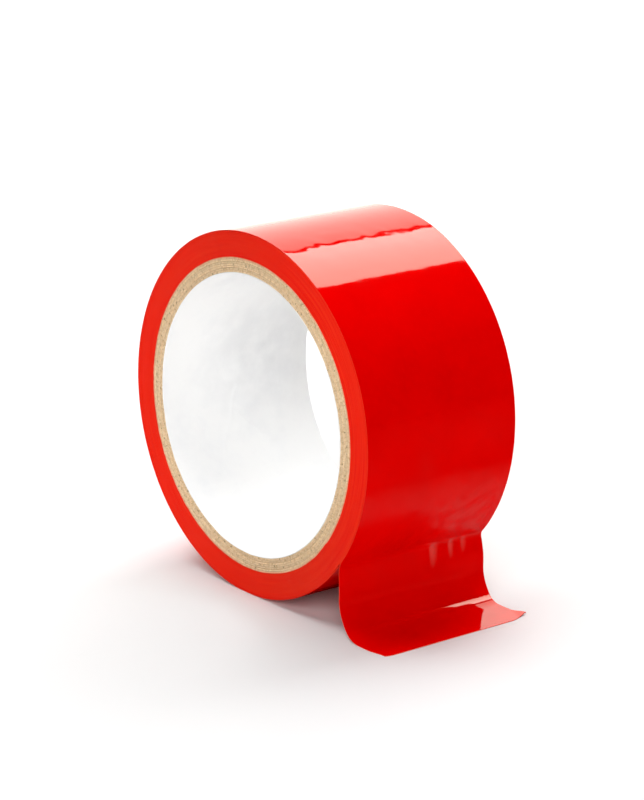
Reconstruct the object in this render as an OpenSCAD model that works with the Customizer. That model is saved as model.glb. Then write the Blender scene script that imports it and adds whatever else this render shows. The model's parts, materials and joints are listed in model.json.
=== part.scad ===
/* [Roll] */
// Width of the tape, and of the core it is wound on
roll_w = 50; // [24:1:60]
// Outside diameter of the full roll
roll_od = 99; // [96:0.5:120]
// How far the film is pressed flat where the roll stands on the ground
stand_flat = 0.05; // [0.03:0.01:0.08]

/* [Core] */
// Inside diameter of the paper core
core_id = 76.2; // [76:0.1:77]
// Thickness of the white paper liner
liner_t = 0.24; // [0.15:0.01:0.3]
// Thickness of one ply of kraft coreboard
ply_t = 0.58; // [0.4:0.01:0.6]
// Angle between a ply's butt seam and the core's axis
seam_angle = 48; // [20:1:50]
// Gap between the two edges of a ply at its seam
seam_gap = 0.3; // [0.1:0.05:0.6]

/* [Tape] */
// Thickness of the vinyl film
film_t = 0.15; // [0.12:0.01:0.2]
// Thickness of the adhesive coat under the film
adhesive_t = 0.05; // [0.03:0.01:0.06]
// Running clearance between the wound pack and its outer turn
turn_clearance = 0.05; // [0.02:0.01:0.08]

/* [Tail] */
// Direction of the peel line seen from the core's axis, below the horizontal
peel_angle = 38.5; // [30:0.5:45]
// Radius of the curl where the tail meets the ground
curl_r = 9.2; // [7:0.1:10]
// Length of the tail that lies flat on the ground
foot_len = 9.3; // [5:0.1:30]
// Angle by which the cut at the tail's end is out of square
cut_skew = 2.5; // [0:0.5:5]

/* [Hidden] */
$fn = 96;
PLIES = 7;

// Radii, from the bore outwards
core_ir = core_id / 2;
ply_ir = core_ir + liner_t;
core_or = ply_ir + PLIES * ply_t;
roll_or = roll_od / 2;
turn_or = roll_or - film_t;
turn_ir = turn_or - adhesive_t;
pack_or = turn_ir - turn_clearance;

// The tail is one strip with three hinges. Each hinge axis lies in the middle of the film.
half_film = film_t / 2;
under = half_film + adhesive_t;
peel_r = roll_or - half_film;
peel_x = peel_r * cos(peel_angle);
peel_z = -peel_r * sin(peel_angle);
ground_z = -roll_or + stand_flat;
foot_z = ground_z + under;
curl_x = peel_x + curl_r;
curl_z = foot_z + curl_r;
curl_start = 180;
bend_at = 210;
foot_at = 240;
curl_end = 270;

// Room left at each hinge, so that a segment can fold over without touching its neighbour
peel_gap = 0.35;
slit_below = 2.2;
adhesive_setback = 0.25;
bend_gap = arc_angle(adhesive_setback, curl_r);
cut_margin = 3;
cut_block = 20;

golden_angle = 137.5;
seam_first = 200;

function arc_angle(length, r) = length / r * 180 / PI;

// Stands a shape drawn in the XY plane up in the XZ plane, so that its Z axis becomes the roll's axis
module along_roll() {
    rotate([90, 0, 0]) children();
}

// Full ring about the roll's axis
module ring(r_in, r_out) {
    along_roll() difference() {
        cylinder(r = r_out, h = roll_w, center = true);
        cylinder(r = r_in, h = roll_w + 2, center = true);
    }
}

// Gives a section of the tape, drawn with its Y axis upwards, the roll's full width
module full_width() {
    along_roll() linear_extrude(height = roll_w, center = true) children();
}

// Flat piece of section, from one corner to the other
module bar(x0, z0, x1, z1) {
    translate([x0, z0]) square([x1 - x0, z1 - z0]);
}

// Triangle that covers a circle of radius r from angle a0 to angle a1, counted from +X upwards
module wedge(r, a0, a1) {
    polygon([[0, 0], [2 * r * cos(a0), 2 * r * sin(a0)], [2 * r * cos(a1), 2 * r * sin(a1)]]);
}

// Section of part of a ring
module arc(r_in, r_out, a0, a1) {
    intersection() {
        difference() {
            circle(r_out);
            circle(r_in);
        }
        wedge(r_out, a0, a1);
    }
}

// One paper strip wound once round the core, with its two edges butted along a slanting seam
module paper_ply(r_in, r_out, seam_at, gap) {
    difference() {
        ring(r_in, r_out);
        along_roll() rotate([0, 0, seam_at]) rotate([seam_angle, 0, 0])
            translate([0, -gap / 2, -2 * roll_w]) cube([r_out + 2, gap, 4 * roll_w]);
    }
}

module core_liner() {
    color("white") paper_ply(core_ir, ply_ir, seam_first, seam_gap / 2);
}

module core_ply(i) {
    r = ply_ir + (i - 1) * ply_t;
    color("burlywood") paper_ply(r, r + ply_t, seam_first + i * golden_angle, seam_gap);
}

module tape_pack() {
    color("red") ring(core_or, pack_or);
}

// The outermost turn is open at the peel line, where the tail leaves it
module outer_turn(r_in, r_out) {
    slit_start = -peel_angle - arc_angle(slit_below, peel_r);
    slit_end = -peel_angle + arc_angle(peel_gap, peel_r);
    full_width() difference() {
        circle(r_out);
        circle(r_in);
        wedge(r_out, slit_start, slit_end);
    }
}

module outer_turn_film() {
    color("red") difference() {
        outer_turn(turn_or, roll_or);
        translate([-cut_block / 2, -roll_w, ground_z - cut_block])
            cube([cut_block, 2 * roll_w, cut_block]);
    }
}

module outer_turn_adhesive() {
    color("lightcoral") outer_turn(turn_ir, turn_or);
}

// Section of part of the curl; r0 and r1 are offsets from the middle of the film, outwards
module curl(r0, r1, a0, a1) {
    translate([curl_x, curl_z]) arc(curl_r + r0, curl_r + r1, a0, a1);
}

// Round end of a film segment, centred on its hinge
module hinge_end(x, z) {
    translate([x, z]) circle(half_film);
}

module curl_hinge_end(a) {
    hinge_end(curl_x + curl_r * cos(a), curl_z + curl_r * sin(a));
}

module tail_drop_film() {
    color("red") full_width() union() {
        hinge_end(peel_x, peel_z);
        bar(peel_x - half_film, curl_z, peel_x + half_film, peel_z);
        curl(-half_film, half_film, curl_start, bend_at - bend_gap);
    }
}

module tail_drop_adhesive() {
    color("lightcoral") full_width() union() {
        bar(peel_x - under, curl_z, peel_x - half_film, peel_z - adhesive_setback);
        curl(half_film, under, curl_start, bend_at - bend_gap);
    }
}

module tail_bend_film() {
    color("red") full_width() union() {
        curl_hinge_end(bend_at);
        curl(-half_film, half_film, bend_at, foot_at - bend_gap);
    }
}

module tail_bend_adhesive() {
    color("lightcoral") full_width() curl(half_film, under, bend_at + bend_gap, foot_at - bend_gap);
}

// Takes off what lies beyond the slightly slanting cut at the tail's end
module cut_end() {
    difference() {
        children();
        translate([curl_x + foot_len, 0, foot_z]) rotate([0, 0, cut_skew])
            translate([0, -roll_w, -cut_block / 2]) cube([cut_block, 2 * roll_w, cut_block]);
    }
}

module tail_foot_film() {
    color("red") cut_end() full_width() union() {
        curl_hinge_end(foot_at);
        curl(-half_film, half_film, foot_at, curl_end);
        bar(curl_x, foot_z - half_film, curl_x + foot_len + cut_margin, foot_z + half_film);
    }
}

module tail_foot_adhesive() {
    color("lightcoral") cut_end() full_width() union() {
        curl(half_film, under, foot_at + bend_gap, curl_end);
        bar(curl_x, foot_z - under, curl_x + foot_len + cut_margin, foot_z - half_film);
    }
}

core_liner();
for (i = [1 : PLIES])
    core_ply(i);
tape_pack();
outer_turn_film();
outer_turn_adhesive();
tail_drop_film();
tail_drop_adhesive();
tail_bend_film();
tail_bend_adhesive();
tail_foot_film();
tail_foot_adhesive();
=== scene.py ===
"""Looks of a roll of glossy red tape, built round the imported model."""
import json
import math

import bpy
import numpy as np
from mathutils import Matrix, Vector


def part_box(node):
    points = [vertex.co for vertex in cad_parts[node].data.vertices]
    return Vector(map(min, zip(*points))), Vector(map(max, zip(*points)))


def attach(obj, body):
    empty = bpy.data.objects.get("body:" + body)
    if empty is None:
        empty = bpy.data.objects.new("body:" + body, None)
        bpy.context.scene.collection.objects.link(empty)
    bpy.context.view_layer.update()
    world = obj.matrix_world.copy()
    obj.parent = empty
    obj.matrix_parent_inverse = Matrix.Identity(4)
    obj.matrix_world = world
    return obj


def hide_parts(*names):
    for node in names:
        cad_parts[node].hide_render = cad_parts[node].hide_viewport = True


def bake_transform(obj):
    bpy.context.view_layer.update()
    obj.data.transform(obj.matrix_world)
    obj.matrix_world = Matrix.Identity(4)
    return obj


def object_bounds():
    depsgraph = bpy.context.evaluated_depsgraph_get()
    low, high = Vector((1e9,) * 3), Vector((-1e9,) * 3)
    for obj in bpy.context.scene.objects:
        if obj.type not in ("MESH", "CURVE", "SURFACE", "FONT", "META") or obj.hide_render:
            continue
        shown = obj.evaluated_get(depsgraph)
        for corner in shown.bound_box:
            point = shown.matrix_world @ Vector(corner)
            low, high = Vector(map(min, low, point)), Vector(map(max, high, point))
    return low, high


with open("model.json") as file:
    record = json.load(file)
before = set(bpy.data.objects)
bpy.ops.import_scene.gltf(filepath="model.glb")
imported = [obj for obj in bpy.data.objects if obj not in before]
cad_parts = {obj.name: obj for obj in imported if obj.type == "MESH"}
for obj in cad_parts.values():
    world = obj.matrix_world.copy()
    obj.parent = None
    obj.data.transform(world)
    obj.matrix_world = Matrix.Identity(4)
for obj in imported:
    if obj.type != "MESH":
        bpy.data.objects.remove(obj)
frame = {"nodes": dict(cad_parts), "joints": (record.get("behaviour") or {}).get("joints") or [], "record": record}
cad_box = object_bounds()

MM = 0.001
JOINTS = {j["name"]: j for j in frame["joints"]}
MOUNTS = {m["name"]: m for m in frame["record"]["mounts"]}
PLIES = sorted(n for n in frame["nodes"] if n.startswith("core_ply_"))


def xz(position):
    """A position in metres as (x, z) in millimetres."""
    return np.array([position[0], position[2]]) / MM


# Sizes, in millimetres, from the frame
HALF_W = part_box("tape_pack")[1].y / MM
BORE_R = MOUNTS["core_bore"]["dims"]["r_mm"]
LINER_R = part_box("core_liner")[1].z / MM
CORE_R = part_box(PLIES[-1])[1].z / MM
PACK_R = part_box("tape_pack")[1].z / MM
ROLL_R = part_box("outer_turn_film")[1].z / MM
GROUND = cad_box[0][2] / MM
PEEL = xz(JOINTS["peel_lift"]["pos_m"])
BEND = xz(JOINTS["tail_curl"]["pos_m"])
TIP_BEND = xz(JOINTS["tail_tip_curl"]["pos_m"])
TAIL_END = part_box("tail_foot_film")[1].x / MM

# The tape: vinyl film with a coat of adhesive under it
FILM_T = 0.15
ADHESIVE_T = 0.042
TAPE_T = FILM_T + ADHESIVE_T
EDGE_ROUND = 0.02
TURNS = 34
STEPS_PER_TURN = 144
RAMP_DEG = 8
FOOT_Z = GROUND + TAPE_T

# The peel line and the tail. A pair is a value at the middle of the tape and its change from there
# to the back edge: the two edges differ, because the tail hangs askew.
PEEL_DEG = (math.degrees(math.atan2(PEEL[1], PEEL[0])) + 0.3, -1.8)
PEEL_BEND = (2.45, -0.95)
DROP_DEG = (-81.7, 6.7)
CURL_FROM_DEG = (-91.0, -0.6)
CURL_R = (9.0, -0.6)
# Past its lower seam the tail bends on to each of these headings, in degrees, with a factor of the
# curl's radius and a number of steps
CURL_OUT = ((-36, 1.0, 8), (-19, 0.6, 14), (-15, 1.0, 4), (0, 1.7, 12))
SLIT_DEG = 2.5
SEAM_Z = PEEL[1] - 5.5
SEAM_HEADING = math.radians(-45)
TIP_LIFT = 0.6
# Creases that run down from the peel line: place across the tape, width, length and height
CREASES = ((5.5, 2.1, 12, 0.4), (12.5, 1.3, 8, 0.27), (17, 1.2, 7, 0.22), (-9, 1.5, 6, 0.12))
# How far along the outer tape the peel line lies
PEEL_LENGTH = math.radians(360 - SLIT_DEG) * ROLL_R

# Where the tape bends at its joints: out from the peel line, and to both sides of the other two
PEEL_SPAN = (0.05, 1.8)
HINGE_REACH = 1.93
BEND_HEADING_DEG = -60
TIP_HEADING_DEG = -30

# The core: kraft plies wound round a white liner, each with a slanting butt seam
SEAM_SLANT = math.tan(math.radians(48))
SEAM_FIRST = 200
GOLDEN_DEG = 137.5
SEAM_GAP = 0.3
LINER_GAP = 0.009
PLY_STATIONS = 600
LINER_STATIONS = 380
KRAFT_SHADES = 3
# The joints between plies that show as a deeper line; joint 2 is the one outside ply 2
GLUE_LINES = (2, 5)

# The colour inputs and output of a Mix node
MIX_FIRST, MIX_SECOND, MIX_RESULT = 6, 7, 2


def hashed_noise(points, size, seed):
    """Smooth noise from -1 to 1 at points (..., 3), with features of about the given size."""
    lattice = np.random.default_rng(seed).uniform(-1, 1, (32, 32, 32))
    p = points / size + 1000.0
    i = np.floor(p).astype(int)
    f = p - i
    f = f * f * (3 - 2 * f)
    total = 0.0
    for corner in np.ndindex(2, 2, 2):
        c = np.array(corner)
        j = (i + c) % 32
        weight = np.prod(np.where(c == 1, f, 1 - f), axis=-1)
        total = total + weight * lattice[j[..., 0], j[..., 1], j[..., 2]]
    return total


def smooth(x):
    """0 below 0, 1 above 1 and a smooth step between them."""
    x = np.clip(x, 0, 1)
    return x * x * (3 - 2 * x)


def bump(x, middle, width):
    """A smooth hill of height 1."""
    return np.exp(-(((x - middle) / width) ** 2))


def on_roll(r, angle, y):
    """Points at radius r and angle in radians from +X upwards, round the roll's axis."""
    r, angle, y = np.broadcast_arrays(r, angle, y)
    return np.stack([r * np.cos(angle), y, r * np.sin(angle)], axis=-1)


# Meshes


def quads(*corners):
    """Faces (n, 4) from grids that hold their first, second, third and fourth corners."""
    return np.stack(corners, axis=-1).reshape(-1, 4)


def shell(name, outer, inner, uv, slots=(0, 0, 0, 0)):
    """Closed solid between two grids of points (n, m, 3), in millimetres.

    slots are the material indices of the outside, the inside, the long edges and the two ends."""
    n, m = outer.shape[:2]
    a = np.arange(n * m).reshape(n, m)
    b = a + n * m
    outside = quads(a[:-1, :-1], a[1:, :-1], a[1:, 1:], a[:-1, 1:])
    inside = quads(b[:-1, :-1], b[:-1, 1:], b[1:, 1:], b[1:, :-1])
    edges = np.concatenate([
        quads(a[:-1, 0], b[:-1, 0], b[1:, 0], a[1:, 0]),
        quads(a[:-1, -1], a[1:, -1], b[1:, -1], b[:-1, -1]),
    ])
    ends = np.concatenate([
        quads(a[0, :-1], a[0, 1:], b[0, 1:], b[0, :-1]),
        quads(a[-1, :-1], b[-1, :-1], b[-1, 1:], a[-1, 1:]),
    ])
    i, j = n // 2, m // 2
    normal = np.cross(outer[i + 1, j] - outer[i, j], outer[i, j + 1] - outer[i, j])
    faces = np.concatenate([outside, inside, edges, ends])
    if normal @ (outer[i, j] - inner[i, j]) < 0:
        faces = faces[:, ::-1]
    index = np.repeat(slots, [len(outside), len(inside), len(edges), len(ends)])
    return mesh_object(name, np.concatenate([outer.reshape(-1, 3), inner.reshape(-1, 3)]), faces,
                       np.concatenate([uv.reshape(-1, 2)] * 2), index)


def mesh_object(name, points, faces, uv, index):
    """Smooth-shaded object; points and uv are in millimetres, index is each face's material."""
    mesh = bpy.data.meshes.new(name)
    mesh.vertices.add(len(points))
    mesh.vertices.foreach_set("co", (points * MM).ravel())
    mesh.loops.add(faces.size)
    mesh.loops.foreach_set("vertex_index", faces.ravel().astype(np.int32))
    mesh.polygons.add(len(faces))
    mesh.polygons.foreach_set("loop_start", np.arange(0, faces.size, 4, dtype=np.int32))
    mesh.polygons.foreach_set("material_index", index.astype(np.int32))
    layer = mesh.uv_layers.new(name="UVMap")
    layer.data.foreach_set("uv", (uv[faces.ravel()] * MM).ravel())
    mesh.update(calc_edges=True)
    mesh.validate()
    mesh.polygons.foreach_set("use_smooth", np.ones(len(mesh.polygons), bool))
    mesh.set_sharp_from_angle(angle=math.radians(35))
    obj = bpy.data.objects.new(name, mesh)
    bpy.context.collection.objects.link(obj)
    return obj


def finish_piece(obj, slot, nodes, *materials):
    """Gives a piece its materials, and hides the nodes of the model that it stands for."""
    for material in materials:
        obj.data.materials.append(material)
    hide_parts(*nodes)
    return obj


# Materials


def new_material(name, **inputs):
    """A material, its node tree and its shader, with values for the shader's inputs."""
    material = bpy.data.materials.new(name)
    material.use_nodes = True
    shader = material.node_tree.nodes["Principled BSDF"]
    for key, value in inputs.items():
        shader.inputs[key.replace("_", " ")].default_value = value
    return material, material.node_tree, shader


def add(tree, kind, links=None, values=None, **settings):
    """Adds a shader node, sets it up and links its inputs."""
    node = tree.nodes.new(kind)
    for key, value in settings.items():
        setattr(node, key, value)
    for key, value in (values or {}).items():
        node.inputs[key].default_value = value
    for key, socket in (links or {}).items():
        tree.links.new(socket, node.inputs[key])
    return node


def stretched(tree, stretch, coordinates="UV"):
    """Texture coordinates in metres, stretched by a factor along each axis."""
    source = add(tree, "ShaderNodeTexCoord").outputs[coordinates]
    inverse = [1 / s for s in stretch]
    return add(tree, "ShaderNodeMapping", {"Vector": source}, {"Scale": inverse}).outputs["Vector"]


def noise(tree, vector, size_mm, detail=3, rough=0.5):
    """Noise from about 0.3 to 0.7, with features of about the given size."""
    values = {"Scale": 1 / (size_mm * MM), "Detail": detail, "Roughness": rough}
    return add(tree, "ShaderNodeTexNoise", {"Vector": vector}, values).outputs["Fac"]


def remap(tree, value, low, high, to_low, to_high):
    """Takes the range from low to high to another one, and holds its ends."""
    values = {"From Min": low, "From Max": high, "To Min": to_low, "To Max": to_high}
    return add(tree, "ShaderNodeMapRange", {"Value": value}, values).outputs["Result"]


def combine(tree, operation, *terms):
    """Arithmetic on terms that are each a socket or a number."""
    node = add(tree, "ShaderNodeMath", operation=operation)
    for i, term in enumerate(terms):
        if isinstance(term, (int, float)):
            node.inputs[i].default_value = term
        else:
            tree.links.new(term, node.inputs[i])
    return node.outputs[0]


def blend_colours(tree, factor, first, second):
    """Mixes two colours, each a socket or a tuple."""
    node = add(tree, "ShaderNodeMix", {"Factor": factor}, data_type="RGBA")
    for key, colour in ((MIX_FIRST, first), (MIX_SECOND, second)):
        if isinstance(colour, tuple):
            node.inputs[key].default_value = (*colour, 1)
        else:
            tree.links.new(colour, node.inputs[key])
    return node.outputs[MIX_RESULT]


def relief(tree, height, distance_mm, strength=1.0, under=None):
    """Bump of a given height, on top of another one."""
    links = {"Height": height}
    if under:
        links["Normal"] = under
    values = {"Distance": distance_mm * MM, "Strength": strength}
    return add(tree, "ShaderNodeBump", links, values).outputs["Normal"]


def vinyl_film():
    """Smooth glossy red film, with the faint grain and smudges of calendered vinyl."""
    material, tree, shader = new_material("vinyl_film", IOR=1.5, Specular_Tint=(1.0, 0.96, 0.68, 1))
    flat = stretched(tree, (1, 1, 1))
    grain = stretched(tree, (6, 1, 1))
    tone = remap(tree, noise(tree, flat, 14, 4), 0.3, 0.7, 0, 1)
    colour = blend_colours(tree, tone, (0.85, 0.0, 0.0), (0.78, 0.0, 0.0))
    smudge = remap(tree, noise(tree, flat, 9, 5, 0.6), 0.45, 0.75, 0.045, 0.11)
    near, level = haze(tree, flat)
    rough = combine(tree, "MULTIPLY_ADD", near, 0.14, smudge)
    orange_peel = relief(tree, noise(tree, flat, 1.6, 2), 0.0012)
    lines = relief(tree, noise(tree, grain, 0.7, 3), 0.0006, under=orange_peel)
    tree.links.new(colour, shader.inputs["Base Color"])
    tree.links.new(rough, shader.inputs["Roughness"])
    tree.links.new(level, shader.inputs["Specular IOR Level"])
    tree.links.new(lines, shader.inputs["Normal"])
    return material


def haze(tree, flat):
    """How near the film is to the peel line, where it is lifting, and its cloudy gloss there."""
    place = add(tree, "ShaderNodeSeparateXYZ", {"Vector": flat}).outputs
    rise = remap(tree, place["X"], (PEEL_LENGTH - 24) * MM, (PEEL_LENGTH - 14) * MM, 0, 1)
    fall = remap(tree, place["X"], PEEL_LENGTH * MM, (PEEL_LENGTH + 2) * MM, 1, 0)
    near = combine(tree, "MULTIPLY", rise, fall)
    cloud = remap(tree, noise(tree, flat, 4, 5, 0.65), 0.4, 0.62, 0.1, 1)
    side = remap(tree, place["Y"], -0.5 * HALF_W * MM, 0.35 * HALF_W * MM, 0.2, 1)
    gloss = remap(tree, combine(tree, "MULTIPLY", cloud, side), 0, 1, 0, 0.5)
    level = add(tree, "ShaderNodeMix", {"Factor": near, "B": gloss}, {"A": 0.5})
    return near, level.outputs[0]


def slit_edge(name, deep, pale):
    """The film where it was slit: duller, a little orange, and streaked by the knife."""
    material, tree, shader = new_material(name, IOR=1.48, Specular_IOR_Level=0.08)
    along = stretched(tree, (14, 1, 1))
    flat = stretched(tree, (1, 1, 1))
    tone = remap(tree, noise(tree, along, 0.6, 4, 0.6), 0.3, 0.7, 0, 1)
    patch = remap(tree, noise(tree, flat, 30, 2), 0.35, 0.65, 0, 1)
    darker = tuple(0.9 * c for c in deep)
    colour = blend_colours(tree, patch, blend_colours(tree, tone, deep, darker), pale)
    tree.links.new(colour, shader.inputs["Base Color"])
    tree.links.new(remap(tree, tone, 0, 1, 0.36, 0.55), shader.inputs["Roughness"])
    tree.links.new(relief(tree, tone, 0.01), shader.inputs["Normal"])
    return material


def adhesive_coat():
    """Tacky rubber adhesive, tinted by the film above it."""
    material, tree, shader = new_material("adhesive_coat", IOR=1.5)
    flat = stretched(tree, (1, 1, 1))
    streak = stretched(tree, (10, 1, 1))
    tone = remap(tree, noise(tree, streak, 1.2, 4, 0.6), 0.3, 0.7, 0, 1)
    colour = blend_colours(tree, tone, (0.85, 0.06, 0.02), (0.75, 0.03, 0.01))
    tree.links.new(colour, shader.inputs["Base Color"])
    tree.links.new(remap(tree, noise(tree, flat, 3, 4), 0.3, 0.7, 0.28, 0.5), shader.inputs["Roughness"])
    tree.links.new(relief(tree, noise(tree, streak, 0.5, 4), 0.006), shader.inputs["Normal"])
    return material


def liner_paper():
    """White coated paper, faintly soiled, with painted shade: greyer in one cloud deep in the bore on its left."""
    material, tree, shader = new_material("liner_paper", IOR=1.45)
    place = stretched(tree, (1, 1, 1), "Object")
    soil = remap(tree, noise(tree, place, 12, 5, 0.6), 0.45, 0.8, 0, 1)
    colour = blend_colours(tree, soil, (0.97, 0.97, 0.965), (0.88, 0.885, 0.90))
    # Painted shade: the paper turns grey in one cloud deep in the bore on its left, where less light reaches
    painted_shade_at = on_roll(BORE_R, math.radians(177), 7.0) * MM
    away = add(tree, "ShaderNodeVectorMath", {0: place}, {1: painted_shade_at}, operation="DISTANCE")
    cloud = remap(tree, away.outputs["Value"], 4 * MM, 26 * MM, 0.85, 0)
    uneven = remap(tree, noise(tree, place, 7, 5, 0.6), 0.35, 0.6, 0.55, 1)
    colour = blend_colours(tree, combine(tree, "MULTIPLY", cloud, uneven), colour, (0.76, 0.765, 0.775))
    tree.links.new(colour, shader.inputs["Base Color"])
    tree.links.new(remap(tree, noise(tree, place, 6, 4), 0.3, 0.7, 0.3, 0.5), shader.inputs["Roughness"])
    fibre = relief(tree, noise(tree, place, 0.5, 5, 0.6), 0.012)
    tree.links.new(relief(tree, noise(tree, place, 4, 3), 0.05, under=fibre), shader.inputs["Normal"])
    return material


def kraft_board(darker):
    """Brown recycled board: coarse grains and short fibres, most of which run round the core."""
    name = f"kraft_board_{darker}"
    material, tree, shader = new_material(name, Roughness=0.85, IOR=1.4, Specular_IOR_Level=0.2)
    fibres = stretched(tree, (3.5, 1, 1))
    flat = stretched(tree, (1.3, 1, 1))
    fibre = remap(tree, noise(tree, fibres, 0.3, 5, 0.7), 0.36, 0.64, 0, 1)
    grain = remap(tree, noise(tree, flat, 0.45, 3, 0.8), 0.42, 0.6, 0, 1)
    patch = remap(tree, noise(tree, flat, 5, 4), 0.3, 0.7, 0, 0.5)
    speck = remap(tree, noise(tree, flat, 0.6, 2), 0.64, 0.7, 0, 0.7)
    shade = 1.1 - 0.07 * darker
    light, dark, pale = (tuple(shade * c for c in colour) for colour in (
        (0.96, 0.71, 0.43), (0.60, 0.385, 0.195), (0.98, 0.79, 0.55)))
    colour = blend_colours(tree, fibre, light, dark)
    colour = blend_colours(tree, remap(tree, grain, 0, 1, 0, 0.75), colour, pale)
    colour = blend_colours(tree, patch, colour, (0.72, 0.52, 0.32))
    colour = blend_colours(tree, speck, colour, (0.30, 0.19, 0.10))
    colour = blend_colours(tree, stain(tree), colour, (0.88, 0.20, 0.09))
    tree.links.new(colour, shader.inputs["Base Color"])
    tree.links.new(relief(tree, grain, 0.08), shader.inputs["Normal"])
    return material


def stain(tree):
    """1 at the outside of the core, where the tape's red shows through, and 0 further in."""
    place = add(tree, "ShaderNodeTexCoord").outputs["Object"]
    across = add(tree, "ShaderNodeVectorMath", {0: place}, {1: (1, 0, 1)}, operation="MULTIPLY").outputs[0]
    r = add(tree, "ShaderNodeVectorMath", {0: across}, operation="LENGTH").outputs["Value"]
    uneven = remap(tree, noise(tree, place, 5, 4), 0.35, 0.65, 0.3, 1)
    near = remap(tree, r, (CORE_R - 0.6) * MM, CORE_R * MM, 0, 1)
    return combine(tree, "MULTIPLY", near, uneven)


# The core


def ply(name, index, r_in, r_out, rows, relief_in, corner_in, corner_out):
    """One paper strip wound once round the core, with its two edges butted along a slanting seam.

    The liner is number 0. relief_in says how far the inside stands in, and the corners are how far
    the rims are worn off, from 0 to 1."""
    r = (r_in + r_out) / 2
    stations = PLY_STATIONS if index else LINER_STATIONS
    gap = (SEAM_GAP if index else LINER_GAP) / r
    start = math.radians(SEAM_FIRST + index * GOLDEN_DEG) + gap / 2
    turn = np.linspace(0, 2 * math.pi - gap, stations)[:, None]
    angle = start + turn + rows * SEAM_SLANT / r
    rim = HALF_W - np.abs(rows)
    thick = (r_out - r_in) / 2
    worn = np.exp(-rim / 0.12)
    r_outer = r_out - corner_out * worn * thick
    r_inner = r_in + corner_in * worn * thick
    outer = on_roll(r_outer, angle, rows)
    inner = on_roll(r_inner - relief_in(angle, rows), angle, rows)
    for side, seed in ((outer, 10), (inner, 40)):
        fray(side, angle, rim, seed + index, r)
    uv = np.stack([r * turn + 0 * rows, rows + 60 * index + 0 * turn], axis=-1)
    return shell(name, outer, inner, uv)


def fray(side, angle, rim, seed, r):
    """Moves the ends of a ply's edge in and out, as torn and saw-cut fibres stand."""
    at = np.stack([r * angle / 3, r * angle * 0 + rim, r * angle * 0 + seed], axis=-1)
    ends = np.exp(-rim / 0.1)
    depth = 0.07 * hashed_noise(at, 1.1, seed) + 0.09 * hashed_noise(at, 0.3, seed + 1)
    side[..., 1] += np.sign(side[..., 1]) * ends * (depth - 0.04)


def wrinkles(angle, y):
    """How far the liner's face stands in: soft waves, and one crease across the bore."""
    at = np.stack(np.broadcast_arrays(BORE_R * angle, y, 0.0), axis=-1)
    waves = 0.05 * hashed_noise(at, 9, 3) + 0.03 * hashed_noise(at, 4, 4)
    # The crease slants across the bore and wavers a little
    back = (np.degrees(angle) - 187) % 360
    along = (back + 4) / 34
    across = y - 0.7 + 8.6 * back / 26.4 + 0.5 * np.sin(back / 3)
    crease = 0.2 * bump(across, 0, 0.35) * smooth(along * 6) * smooth((1 - along) * 6)
    return waves + crease


def no_relief(angle, y):
    """The inside of a ply that is plain."""
    return 0.0


def groove(joint):
    """How far the plies' corners are worn off at a joint: more so along a glue line."""
    return 0.8 if joint in GLUE_LINES else 0.35


def core_rows(from_edge, count):
    """Places across the core: close together at its two ends, and evenly spaced in between."""
    rim = HALF_W - np.array([0, 0.03, 0.09, 0.2, 0.5])
    return np.concatenate([-rim, np.linspace(-1, 1, count) * (HALF_W - from_edge), rim[::-1]])


def make_core():
    liner = ply("liner_paper", 0, BORE_R, LINER_R, core_rows(1, 116), wrinkles, 0.3, 0.3)
    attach(finish_piece(liner, "liner_paper", ["core_liner"], liner_paper()), "roll")
    boards = [kraft_board(darker) for darker in range(KRAFT_SHADES)]
    step = (CORE_R - LINER_R) / len(PLIES)
    for i, node in enumerate(PLIES, 1):
        r = LINER_R + (i - 1) * step
        board = ply(f"kraft_ply_{i}", i, r, r + step, core_rows(2, 12), no_relief, groove(i - 1), groove(i))
        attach(finish_piece(board, "kraft_board", [node], boards[i % KRAFT_SHADES]), "roll")


# The wound tape


def make_wound_tape(film, adhesive):
    """One strip in a spiral, from the outside in. Each turn steps down to the next at its end."""
    pitch = (PACK_R - CORE_R) / TURNS
    back = np.arange(TURNS * STEPS_PER_TURN + 1) * 360 / STEPS_PER_TURN
    turn = np.floor(back / 360 - 1e-9).clip(0)
    ramp = smooth((back - 360 * turn - (360 - RAMP_DEG)) / RAMP_DEG)
    r = (PACK_R - pitch * (turn + ramp))[:, None]
    angle = np.radians(PEEL_DEG[0] + back)[:, None]
    length = np.cumsum(np.radians(360 / STEPS_PER_TURN) * r[:, 0])[:, None]
    y_film = HALF_W - np.array([0.03, 0, 0, EDGE_ROUND, 3])
    depth_film = np.array([FILM_T, FILM_T - 0.012, EDGE_ROUND, 0, 0])
    y_glue = HALF_W - np.array([0.045, 0.04, 0.05, 0.5, 3])
    depth_glue = np.array([FILM_T + 0.004, TAPE_T - 0.008, TAPE_T, TAPE_T, TAPE_T])
    sway = edge_sway(turn, back)[:, None]
    sections = []
    for y, depth in ((y_film, depth_film), (y_glue, depth_glue)):
        y, depth = np.concatenate([-y, y[::-1]]), np.concatenate([depth, depth[::-1]])
        sections.append(on_roll(r - depth, angle, y + sway))
    uv = np.stack(np.broadcast_arrays(length, y + 3 * turn[:, None]), axis=-1)
    strip = shell("wound_tape", *sections, uv, (0, 1, 1, 0))
    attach(finish_piece(strip, "wound_tape", ["tape_pack"], film, adhesive), "roll")


def edge_sway(turn, back):
    """How far the tape's edges stand to one side: it wanders a little while it is wound."""
    at = np.stack([turn * 0.9, back / 360, 0 * back], axis=-1)
    slow = np.stack([back / 140, 0 * back, 0 * back], axis=-1)
    return 0.03 * hashed_noise(at, 1, 21) + 0.02 * hashed_noise(slow, 1, 22)


# The outer turn and the tail


def walk(start, sections):
    """Points down the tail from start (m, 2), in sections of (length, heading, next heading, steps)."""
    points = [start]
    for length, first, last, steps in sections:
        for i in range(steps):
            heading = first + (last - first) * (i + 0.5) / steps
            ahead = np.stack([np.cos(heading), np.sin(heading)], axis=-1)
            points.append(points[-1] + (length / steps)[:, None] * ahead)
    return np.array(points)


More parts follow.
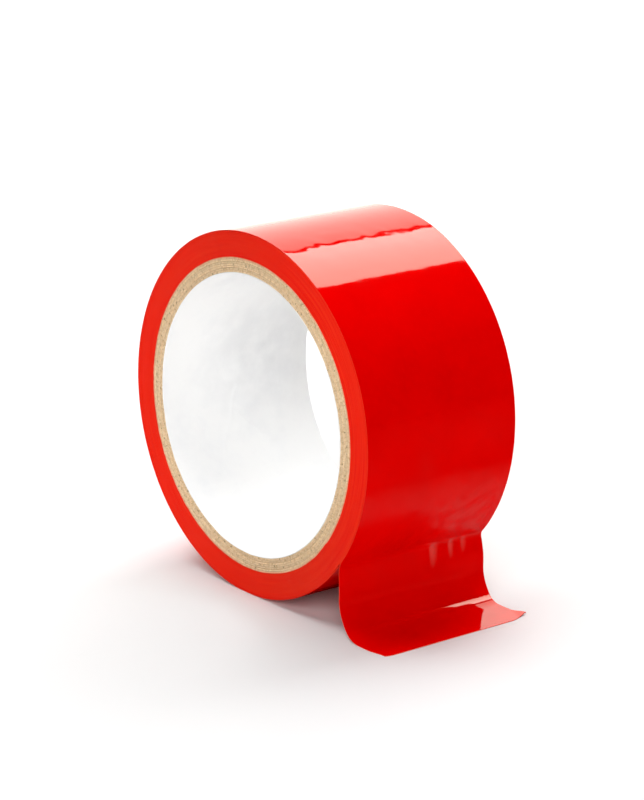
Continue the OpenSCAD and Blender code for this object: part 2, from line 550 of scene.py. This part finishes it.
def tape_rows():
    """Places across the tape, and how far each is rounded off at the edge."""
    inner = np.linspace(-1, 1, 73) * (HALF_W - 0.6)
    rims = HALF_W - np.array([0, 0.006, EDGE_ROUND, 0.1, 0.3])
    depth = np.array([EDGE_ROUND, 0.006, 0, 0, 0])
    return np.concatenate([-rims, inner, rims[::-1]]), np.concatenate([depth, 0 * inner, depth[::-1]])


def lean(pair, s):
    """A value of the tail at s, which runs from -1 at the front edge to 1 at the back edge."""
    return pair[0] + pair[1] * s


def tail_sections(start, peel, s):
    """What walk() needs down to the end of the curl: above, between and past the tail's two seams."""
    curl_r = lean(CURL_R, s)
    drop = np.radians(lean(DROP_DEG, s))
    curl_from = np.radians(lean(CURL_FROM_DEG, s))
    seam = SEAM_HEADING + 0 * s
    fine = math.radians(1)
    bend = (lean(PEEL_BEND, s), peel - math.pi / 2, drop, 14)
    below = walk(start, [bend])[-1]
    upper = (below[:, 1] - SEAM_Z) / -np.sin(drop)
    lower = SEAM_Z - FOOT_Z - curl_r * (1 - np.cos(curl_from))
    before = [bend, (upper, drop, drop, 12)]
    middle = [
        (lower, drop, curl_from, 14),
        (curl_r * (seam - fine - curl_from), curl_from, seam - fine, 24),
        (curl_r * fine, seam - fine, seam, 3),
    ]
    after = [(curl_r * fine, seam, seam + fine, 3)]
    for heading_deg, factor, steps in CURL_OUT:
        last, heading = after[-1][2], math.radians(heading_deg) + 0 * s
        after.append((factor * curl_r * (heading - last), last, heading, steps))
    return before, middle, after


def cut_line(y):
    """How far out the tail is cut off: nearly square, its front corner rounded, its back one trimmed."""
    front = 0.7 * np.exp(-(HALF_W + y) / 1.2)
    back = 1.4 * smooth((y / HALF_W - 0.75) / 0.25)
    return TAIL_END + 0.6 - front - back


def land(start, line, cut, y):
    """Brings the end of the tail down exactly to the ground, and lets it wander to the front."""
    s = y / HALF_W
    x, top = line[..., 0], start[:, 1]
    z = top + (line[..., 1] - top) * (FOOT_Z - top) / (line[-1, :, 1] - top)
    sink = smooth((top - z) / (top - FOOT_Z))
    ahead = smooth((x - PEEL[0]) / 9.5)
    near_cut = smooth((x - cut + 6) / 6)
    veer = 0.15 * (1 + s) * sink + (1.4 + 0.25 * (1 + s)) * ahead - 0.9 * near_cut
    return np.stack([x, y - veer, z], axis=-1)


def outer_tape():
    """The outside of the outer turn and the tail (n, m, 3), and the stations where its pieces meet."""
    y, rounding = tape_rows()
    s = y / HALF_W
    peel = np.radians(lean(PEEL_DEG, s))
    back = np.radians(np.linspace(360 - SLIT_DEG, 0, 358))[:, None]
    ring = on_roll(ROLL_R, peel + back, y)
    start = ring[-1][:, [0, 2]]
    before, middle, after = tail_sections(start, peel, s)
    flat_from = walk(start, before + middle + after)[-1, :, 0]
    cut = cut_line(y)
    after.append((cut - flat_from, 0 * s, 0 * s, 30))
    line = walk(start, before + middle + after)[1:]
    points = np.concatenate([ring, land(start, line, cut, y)])
    peel_at = len(ring) - 1
    first = peel_at + sum(steps for *_, steps in before)
    second = first + sum(steps for *_, steps in middle)
    return points, y, rounding, peel_at, first, second


def normals_of(points):
    """Unit normals of a grid of points."""
    along = np.gradient(points, axis=0)
    across = np.gradient(points, axis=1)
    normal = np.cross(across, along)
    return normal / np.linalg.norm(normal, axis=-1, keepdims=True)


def shape_film(points, peel_at, y):
    """Puts the small ripples, creases and curls of real film into the outer turn and the tail."""
    normal = normals_of(points)
    if normal[10, 10] @ points[10, 10] < 0:
        normal = -normal
    angle = np.degrees(np.arctan2(points[..., 2], points[..., 0]))
    station = np.arange(len(points))[:, None] + 0 * y
    on_ring = station <= peel_at
    length = np.cumsum(np.linalg.norm(np.diff(points, axis=0, prepend=points[:1]), axis=-1), axis=0)
    below = length - length[peel_at]
    zone = 0.25 + bump(angle, 73, 6) + 0.8 * bump(angle, -22, 14)
    ripple = 0.04 * hashed_noise(points, 4.2, 31) + 0.02 * hashed_noise(points, 2.4, 32) + 0.06
    ripple = ripple + 0.035 * np.abs(hashed_noise(points, 3.2, 33))
    lift = np.where(on_ring, zone * ripple * smooth(-below / 3), 0.0)
    tail_wave = 0.07 * hashed_noise(points, 9, 35) + 0.02 * hashed_noise(points, 4, 36)
    lift = lift + np.where(on_ring, 0, tail_wave * smooth(below / 3))
    for place, width, reach, height in CREASES:
        fade = smooth(below / 0.6) * smooth((reach - below) / reach)
        lift = lift + np.where(on_ring, 0, height * bump(y + 0.04 * below, place, width) * fade)
    moved = points + lift[..., None] * normal
    from_corner = length[-1] - length + 1.4 * (HALF_W - y)
    moved[..., 2] += np.where(on_ring, 0, TIP_LIFT * smooth(1 - from_corner / 5))
    return moved, normal, length


def tape_layer(points, normal, rounding, depth, thickness):
    """The two faces of a layer that lies depth below the tape's outside, kept above the ground."""
    top = points - (depth + rounding)[..., None] * normal
    low = points - (depth + thickness - rounding)[..., None] * normal
    for face in (top, low):
        face[..., 2] = np.maximum(face[..., 2], FOOT_Z - depth - thickness)
    return top, low


def make_outer_tape(film, edge, painted_rim_light_edge, adhesive):
    """Film and adhesive of the outer turn with the tail's upper part, of its bend and of its foot."""
    points, y, rounding, peel_at, first, second = outer_tape()
    points, normal, length = shape_film(points, peel_at, y)
    uv = np.stack([length, y + 0 * length], axis=-1)
    peel_way = np.array([PEEL[0], 0, PEEL[1]]) / np.hypot(*PEEL)
    spans = (
        ("outer_turn", slice(0, first + 1), ("outer_turn", "tail_drop"),
         (ROLL_R + PEEL_SPAN[0]) * peel_way, (ROLL_R + PEEL_SPAN[1]) * peel_way),
        ("bend", slice(first, second + 1), ("tail_drop", "tail_bend"), *hinge_span(BEND, BEND_HEADING_DEG)),
        ("foot", slice(second, None), ("tail_bend", "tail_foot"), *hinge_span(TIP_BEND, TIP_HEADING_DEG)),
    )
    stood_for = {"outer_turn": ["outer_turn", "tail_drop"], "bend": ["tail_bend"], "foot": ["tail_foot"]}
    layers = (("film", "vinyl_film", 0.0, FILM_T, rounding),
              ("adhesive", "adhesive_coat", FILM_T + 0.001, ADHESIVE_T, 0.4 * rounding))
    for layer, slot, depth, thickness, round_off in layers:
        top, low = tape_layer(points, normal, round_off, depth, thickness)
        for name, rows, bodies, start, end in spans:
            obj = shell(f"tape_{layer}_{name}", top[rows], low[rows], uv[rows], (0, 0, 1, 1))
            nodes = [f"{node}_{layer}" for node in stood_for[name]]
            # Past the outer turn the film's edges take the lighter copy with painted rim light
            film_edge = edge if name == "outer_turn" else painted_rim_light_edge
            materials = (film, film_edge) if layer == "film" else (adhesive, adhesive)
            finish_piece(obj, slot, nodes, *materials)
            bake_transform(obj)


def hinge_span(hinge, heading_deg):
    """Where a bend round a hinge starts and ends."""
    heading = math.radians(heading_deg)
    middle = np.array([hinge[0], 0, hinge[1]])
    reach = HINGE_REACH * np.array([math.cos(heading), 0, math.sin(heading)])
    return middle - reach, middle + reach


# The studio


def make_floor():
    bpy.ops.mesh.primitive_plane_add(size=2, location=(0, 0, GROUND * MM))
    floor = bpy.context.object
    floor.name = "floor"
    material, _, shader = new_material("white_table", Roughness=0.9)
    shader.inputs["Base Color"].default_value = (0.79, 0.79, 0.79, 1)
    shader.inputs["Specular IOR Level"].default_value = 0.1
    floor.data.materials.append(material)
    floor.visible_glossy = False


def softbox(name, centre, target, size, radiance):
    """A rectangular light of a given radiance, which the camera sees only as a reflection."""
    data = bpy.data.lights.new(name, "AREA")
    data.shape = "RECTANGLE"
    data.size, data.size_y = size
    data.energy = radiance * math.pi * size[0] * size[1]
    light = bpy.data.objects.new(name, data)
    light.location = centre
    light.rotation_euler = (Vector(target) - Vector(centre)).to_track_quat("-Z", "Y").to_euler()
    light.visible_camera = False
    bpy.context.collection.objects.link(light)
    return light


def make_lights():
    """Two softboxes that the film mirrors as bands, and a fill that it doesn't mirror."""
    far = 1.5
    overhead = softbox("overhead", (-0.346 * far, 0.4 * far, far), (-0.346 * far, 0.4 * far, 0),
                       (0.657 * far, 1.8 * far), 5.5)
    # It shines straight down, with its sides along X and Y
    overhead.rotation_euler = (0, 0, 0)
    side = softbox("side", (-far, 1.05 * far, 0.47 * far), (0, 1.05 * far, 0.47 * far),
                   (1.5 * far, 1.547 * far), 1.8)
    side.data.color = (1, 0.97, 0.89)
    fill = softbox("fill", (1.2, -1.4, 0.9), (0, 0, 0), (1.6, 1.2), 4.6)
    fill.visible_glossy = False
    make_surroundings()


def make_surroundings():
    """A white studio to the camera; to the roll a dark one, with a pale wall behind and a dim table."""
    world = bpy.data.worlds.new("studio")
    bpy.context.scene.world = world
    world.use_nodes = True
    tree = world.node_tree
    direction = add(tree, "ShaderNodeTexCoord").outputs["Generated"]
    axes = add(tree, "ShaderNodeSeparateXYZ", {"Vector": direction}).outputs
    below = remap(tree, axes["Z"], -0.52, -0.7, 0, 0.2)
    ahead = remap(tree, axes["X"], -0.35, -0.05, 0, 1)
    table = combine(tree, "MULTIPLY", below, ahead)
    wall = remap(tree, axes["Y"], 0.68, 0.8, 0, 0.6)
    seen = add(tree, "ShaderNodeLightPath").outputs["Is Camera Ray"]
    strength = combine(tree, "MAXIMUM", combine(tree, "ADD", table, wall), seen)
    tree.nodes["Background"].inputs["Color"].default_value = (1, 1, 1, 1)
    tree.links.new(strength, tree.nodes["Background"].inputs["Strength"])


def make_camera():
    azimuth, elevation, roll = (math.radians(a) for a in (50.87, 16.93, 0.83))
    distance = 0.8628
    target = Vector((-0.72, 0, -0.09)) * MM
    back = Vector((math.sin(azimuth) * math.cos(elevation), -math.cos(azimuth) * math.cos(elevation),
                   math.sin(elevation)))
    right = (-back).cross(Vector((0, 0, 1))).normalized()
    up = back.cross(right)
    turned = Matrix((right, up, back)).transposed().to_4x4() @ Matrix.Rotation(roll, 4, "Z")
    data = bpy.data.cameras.new("camera")
    data.sensor_width = 36
    data.lens = 144.7
    data.shift_x, data.shift_y = 0.00225, -0.00075
    data.clip_start = 0.01
    camera = bpy.data.objects.new("camera", data)
    camera.matrix_world = Matrix.Translation(target + distance * back) @ turned
    bpy.context.collection.objects.link(camera)
    bpy.context.scene.camera = camera


make_camera()
make_core()
film, adhesive = vinyl_film(), adhesive_coat()
edge = slit_edge("slit_edge", (0.93, 0.006, 0.0), (0.93, 0.026, 0.005))
make_wound_tape(edge, adhesive)
# The tail's bend and foot get a lighter, pinker copy of the slit edge: painted rim light along their cut edges
make_outer_tape(film, edge, slit_edge("painted_rim_light_edge", (0.95, 0.09, 0.05), (0.95, 0.16, 0.10)), adhesive)
make_floor()
make_lights()
bpy.context.scene.view_settings.view_transform = "Standard"
